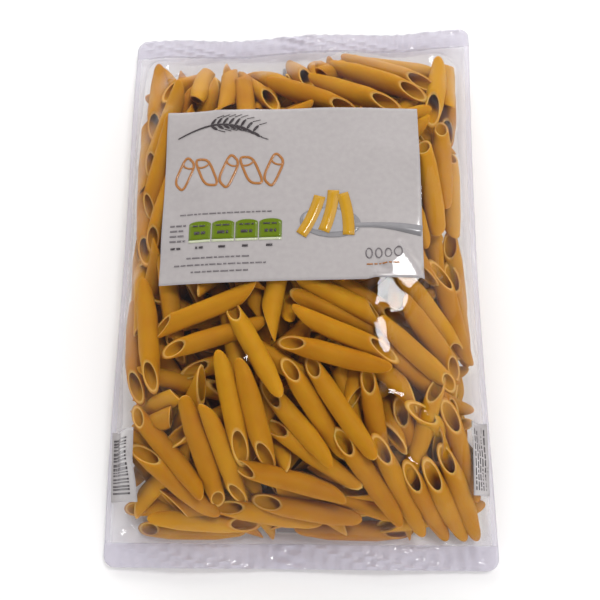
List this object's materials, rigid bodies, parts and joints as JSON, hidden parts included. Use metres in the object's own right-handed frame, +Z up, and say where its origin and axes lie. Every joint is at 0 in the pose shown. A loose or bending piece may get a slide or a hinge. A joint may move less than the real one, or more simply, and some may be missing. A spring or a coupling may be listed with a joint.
{
  "type": "pasta packet",
  "caption": "Sealed pillow packet of clear film filled with dry penne, lying on its back, with a white printed front panel and two small printed fields at its side edges.",
  "frame": {"origin": "centre of the packet's outline, on the surface it lies on", "axes": "+X across the packet to the right of the front panel, +Y along the packet to its top end seal, +Z up through the front panel"},
  "size_m": [0.16, 0.245, 0.0517],
  "materials": {
    "filled_film": "clear glossy film over amber pasta",
    "panel_print": "white ink printed on clear film",
    "field_print": "white ink with dark marks on clear film",
    "film": "clear polypropylene film",
    "pasta": "dry durum wheat pasta",
    "accent_ink": "orange ink",
    "green_ink": "green ink",
    "dark_ink": "dark grey ink"
  },
  "bodies": {
    "root": {"packet": "filled_film", "front_panel": "panel_print", "bar_field": "field_print", "print_field": "field_print"}
  },
  "joints": []
}
